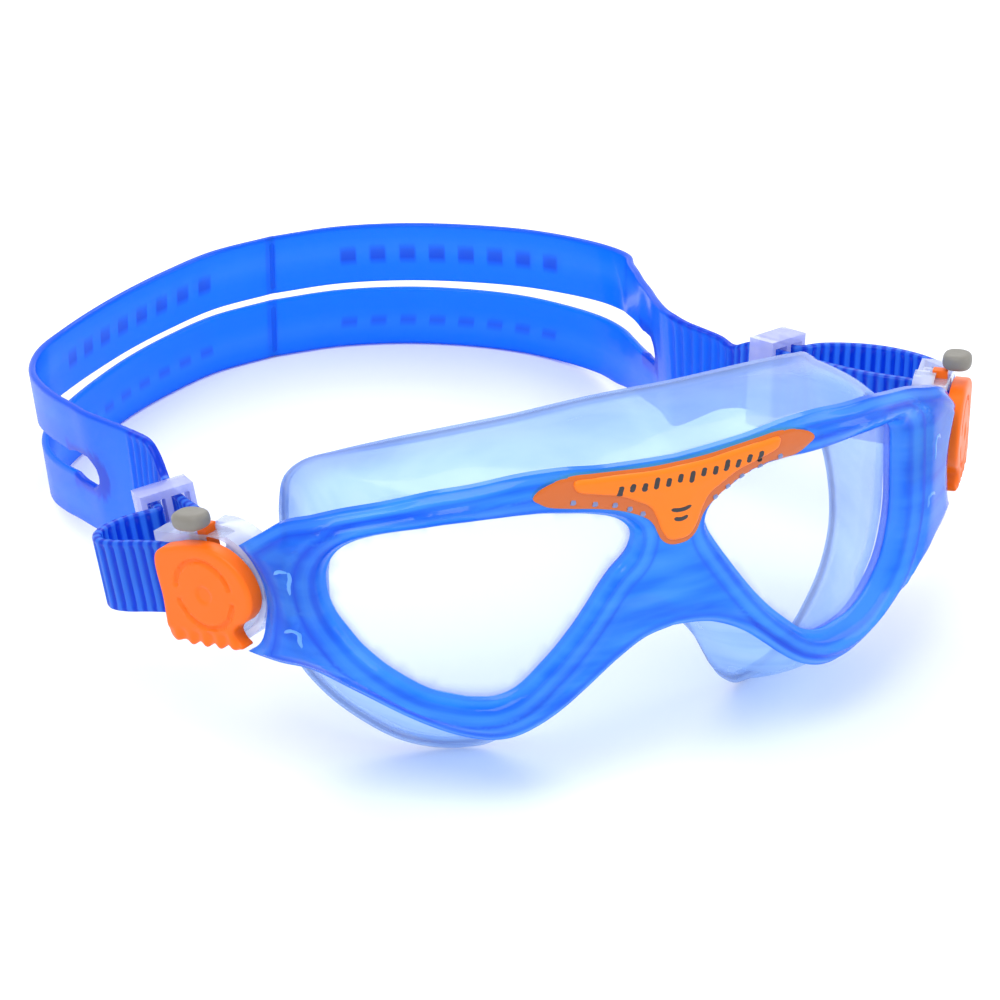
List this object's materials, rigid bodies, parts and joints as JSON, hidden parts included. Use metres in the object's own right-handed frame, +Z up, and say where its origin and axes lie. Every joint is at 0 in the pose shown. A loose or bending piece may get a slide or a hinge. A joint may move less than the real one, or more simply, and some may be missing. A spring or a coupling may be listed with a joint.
{
  "type": "swim goggles",
  "caption": "Swim mask with two lenses in a wrap frame, a soft face seal, a split head strap and a swivelling ratchet buckle at each temple.",
  "frame": {"origin": "under the middle of the object, on the surface it rests on", "axes": "+X towards the wearer's left, -Y the way the wearer looks, +Z up"},
  "size_m": [0.1663, 0.1846, 0.0647],
  "materials": {
    "blue_frame": "glossy translucent blue moulding",
    "clear_lens": "clear polished polycarbonate lens",
    "clear_skirt": "soft translucent clear silicone with a faint blue cast",
    "blue_strap": "satin translucent blue silicone",
    "orange_trim": "satin orange moulding",
    "clear_plastic": "clear moulding with a faint lavender cast",
    "grey_button": "satin warm grey moulding",
    "bright_steel": "plain bright wire and pin",
    "white_nylon": "off-white nylon"
  },
  "bodies": {
    "mask": {"front_frame": "blue_frame", "left_lens": "clear_lens", "right_lens": "clear_lens", "bridge_badge": "orange_trim", "face_skirt": "clear_skirt", "head_strap": "blue_strap", "left_temple_lug": "clear_plastic", "left_swivel_rivet": "bright_steel", "right_temple_lug": "clear_plastic", "right_swivel_rivet": "bright_steel"},
    "left_buckle": {"left_buckle_housing": "clear_plastic", "left_buckle_cover": "orange_trim", "left_roller_axle": "bright_steel", "left_strap_tail": "blue_strap", "left_pawl_spring": "bright_steel"},
    "left_button": {"left_release_button": "grey_button", "left_button_stem": "orange_trim"},
    "left_pawl": {"left_ratchet_pawl": "white_nylon"},
    "left_roller": {"left_strap_roller": "white_nylon"},
    "left_keeper": {"left_strap_keeper": "clear_plastic"},
    "right_buckle": {"right_buckle_housing": "clear_plastic", "right_buckle_cover": "orange_trim", "right_roller_axle": "bright_steel", "right_strap_tail": "blue_strap", "right_pawl_spring": "bright_steel"},
    "right_button": {"right_release_button": "grey_button", "right_button_stem": "orange_trim"},
    "right_pawl": {"right_ratchet_pawl": "white_nylon"},
    "right_roller": {"right_strap_roller": "white_nylon"},
    "right_keeper": {"right_strap_keeper": "clear_plastic"}
  },
  "joints": [
    {"name": "left_buckle_swivel", "type": "hinge", "parent": "mask", "child": "left_buckle", "pos_m": [0.07525, -0.05762, 0.0363], "axis": [0.7986, -0.6018, 0], "range_deg": [-8, 18]},
    {"name": "left_button_press", "type": "slide", "parent": "left_buckle", "child": "left_button", "axis": [-0.0941, -0.1249, -0.9877], "range_m": [0, 0.0014], "stiffness_N_per_m": 250, "springref_m": -0.0012},
    {"name": "left_pawl_slide", "type": "slide", "parent": "left_buckle", "child": "left_pawl", "axis": [-0.5944, -0.7888, 0.1564], "range_m": [0, 0.0014]},
    {"name": "left_roller_spin", "type": "hinge", "parent": "left_buckle", "child": "left_roller", "pos_m": [0.07502, -0.04879, 0.03521], "axis": [0.0941, 0.1249, 0.9877], "continuous": true},
    {"name": "left_keeper_slide", "type": "slide", "parent": "left_buckle", "child": "left_keeper", "axis": [-0.3944, 0.9156, -0.0782], "range_m": [0, 0.0035]},
    {"name": "right_buckle_swivel", "type": "hinge", "parent": "mask", "child": "right_buckle", "pos_m": [-0.0713, -0.05672, 0.0371], "axis": [0.8829, 0.4695, 0], "range_deg": [-8, 18]},
    {"name": "right_button_press", "type": "slide", "parent": "right_buckle", "child": "right_button", "axis": [0.1056, -0.1986, -0.9744], "range_m": [0, 0.0014], "stiffness_N_per_m": 250, "springref_m": -0.0012},
    {"name": "right_pawl_slide", "type": "slide", "parent": "right_buckle", "child": "right_pawl", "axis": [0.4574, -0.8603, 0.225], "range_m": [0, 0.0014]},
    {"name": "right_roller_spin", "type": "hinge", "parent": "right_buckle", "child": "right_roller", "pos_m": [-0.06965, -0.04812, 0.03553], "axis": [-0.1056, 0.1986, 0.9744], "continuous": true},
    {"name": "right_keeper_slide", "type": "slide", "parent": "right_buckle", "child": "right_keeper", "axis": [0.0453, 0.9798, -0.1948], "range_m": [0, 0.0035]}
  ],
  "couplings": [
    {"joint": "left_pawl_slide", "follows": "left_button_press", "ratio": 1},
    {"joint": "right_pawl_slide", "follows": "right_button_press", "ratio": 1}
  ]
}
